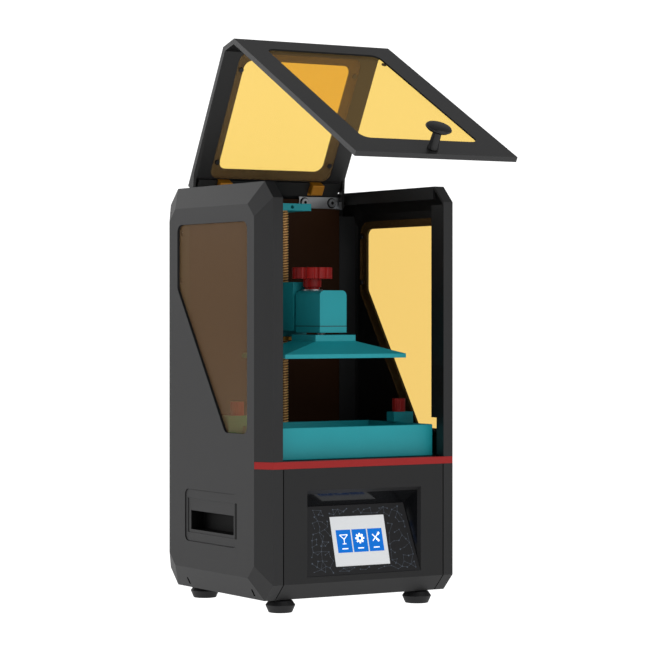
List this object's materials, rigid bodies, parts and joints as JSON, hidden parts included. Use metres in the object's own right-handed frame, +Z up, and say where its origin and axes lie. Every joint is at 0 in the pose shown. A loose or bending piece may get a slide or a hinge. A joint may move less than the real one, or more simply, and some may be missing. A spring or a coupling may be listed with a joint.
{
  "type": "resin printer",
  "caption": "Desktop resin printer with bevelled side shells, amber windows, a hinged amber lid, a lift with a levelling build plate, a sliding vat and a tilted touch screen.",
  "frame": {"origin": "on the floor, under the middle of the printer's box as drawn, with the lid open", "axes": "+Z up, -Y towards the user at the front, +X to the right as the user sees it"},
  "size_m": [0.22, 0.3343, 0.5395],
  "materials": {
    "dark_shell": "satin powder coat",
    "dark_cover": "satin powder coat",
    "black_sheet": "matt",
    "dark_plastic": "fine grain",
    "black_plastic": "fine grain",
    "lid_plastic": "satin",
    "red_trim": "satin",
    "red_knob": "red anodised",
    "teal_metal": "teal anodised",
    "amber_sheet": "clear tinted",
    "clear_film": "clear",
    "rubber": "matt",
    "steel": "brushed",
    "bare_aluminium": "satin",
    "brass": "turned",
    "gold_metal": "gold anodised",
    "screen_glass": "lit",
    "dark_glass": "polished",
    "green_board": "lacquered",
    "motor_black": "satin"
  },
  "bodies": {
    "casing": {"left_shell": "dark_shell", "right_shell": "dark_shell", "front_panel": "dark_cover", "rear_cover": "dark_cover", "back_wall": "black_sheet", "base_plate": "dark_cover", "deck_plate": "black_sheet", "trim_strip": "red_trim", "left_window": "amber_sheet", "right_window": "amber_sheet", "window_screws": "steel", "left_handle": "dark_plastic", "right_handle": "dark_plastic", "feet": "rubber", "foot_screws": "steel", "screen_bezel": "dark_plastic", "overlay_panel": "black_plastic", "touch_screen": "screen_glass", "screen_board": "green_board", "mask_screen": "dark_glass", "mask_frame": "black_sheet", "lamp_housing": "bare_aluminium", "lamp_board": "green_board", "heat_sink": "bare_aluminium", "lamp_fan_frame": "black_plastic", "main_board": "green_board", "board_posts": "brass", "power_inlet": "black_plastic", "switch_housing": "black_plastic", "usb_port": "steel", "z_column": "motor_black", "z_rail": "steel", "z_top_bracket": "teal_metal", "z_bearing": "steel", "z_motor": "motor_black", "vat_clamps": "teal_metal", "hinge_plates": "steel", "hinge_pins": "steel"},
    "lid": {"lid_frame": "lid_plastic", "lid_top_pane": "amber_sheet", "lid_front_pane": "amber_sheet", "lid_screws": "steel", "lid_knob": "black_plastic", "lid_stops": "gold_metal"},
    "lift": {"z_carriage": "steel", "z_arm": "teal_metal", "screw_nut": "brass"},
    "lift_screw": {"lead_screw": "steel", "screw_coupler": "bare_aluminium"},
    "platform": {"clamp_block": "teal_metal"},
    "knob": {"clamp_knob": "red_knob"},
    "ball": {"levelling_ball": "steel"},
    "plate": {"build_plate": "teal_metal"},
    "vat": {"vat_frame": "teal_metal", "vat_film": "clear_film", "film_ring": "bare_aluminium"},
    "left_thumb": {"left_thumbscrew": "red_knob"},
    "right_thumb": {"right_thumbscrew": "red_knob"},
    "fan": {"lamp_fan_rotor": "black_plastic"},
    "rocker": {"switch_rocker": "black_plastic"}
  },
  "joints": [
    {"name": "lid_hinge", "type": "hinge", "parent": "casing", "child": "lid", "pos_m": [0, 0.14905, 0.387], "axis": [-1, 0, 0], "range_deg": [-61.4, 0]},
    {"name": "lift_slide", "type": "slide", "parent": "casing", "child": "lift", "axis": [0, 0, 1], "range_m": [-0.089, 0.06]},
    {"name": "screw_turn", "type": "hinge", "parent": "casing", "child": "lift_screw", "pos_m": [0, 0.11645, 0.25], "axis": [0, 0, 1], "range_deg": [-4010, 2710]},
    {"name": "platform_slide", "type": "slide", "parent": "lift", "child": "platform", "axis": [0, -1, 0], "range_m": [0, 0.045]},
    {"name": "knob_turn", "type": "hinge", "parent": "platform", "child": "knob", "pos_m": [0, 0.06345, 0.31], "axis": [0, 0, 1], "range_deg": [-720, 720]},
    {"name": "plate_pitch", "type": "hinge", "parent": "platform", "child": "ball", "pos_m": [0, 0.04695, 0.267], "axis": [1, 0, 0], "range_deg": [-1.5, 1.5]},
    {"name": "plate_roll", "type": "hinge", "parent": "ball", "child": "plate", "pos_m": [0, 0.04695, 0.267], "axis": [0, 1, 0], "range_deg": [-1.5, 1.5]},
    {"name": "vat_slide", "type": "slide", "parent": "casing", "child": "vat", "axis": [0, -1, 0], "range_m": [0, 0.12]},
    {"name": "left_thumb_turn", "type": "hinge", "parent": "casing", "child": "left_thumb", "pos_m": [-0.0912, 0.04995, 0.18], "axis": [0, 0, 1], "range_deg": [-720, 720]},
    {"name": "right_thumb_turn", "type": "hinge", "parent": "casing", "child": "right_thumb", "pos_m": [0.0912, 0.04995, 0.18], "axis": [0, 0, 1], "range_deg": [-720, 720]},
    {"name": "fan_spin", "type": "hinge", "parent": "casing", "child": "fan", "pos_m": [0, 0.04145, 0.03], "axis": [0, 0, 1], "continuous": true},
    {"name": "switch_rock", "type": "hinge", "parent": "casing", "child": "rocker", "pos_m": [-0.06, 0.16495, 0.04], "axis": [0, 0, 1], "range_deg": [-6, 6]}
  ],
  "couplings": [
    {"joint": "screw_turn", "follows": "lift_slide", "rad_per_m": 785.4}
  ]
}
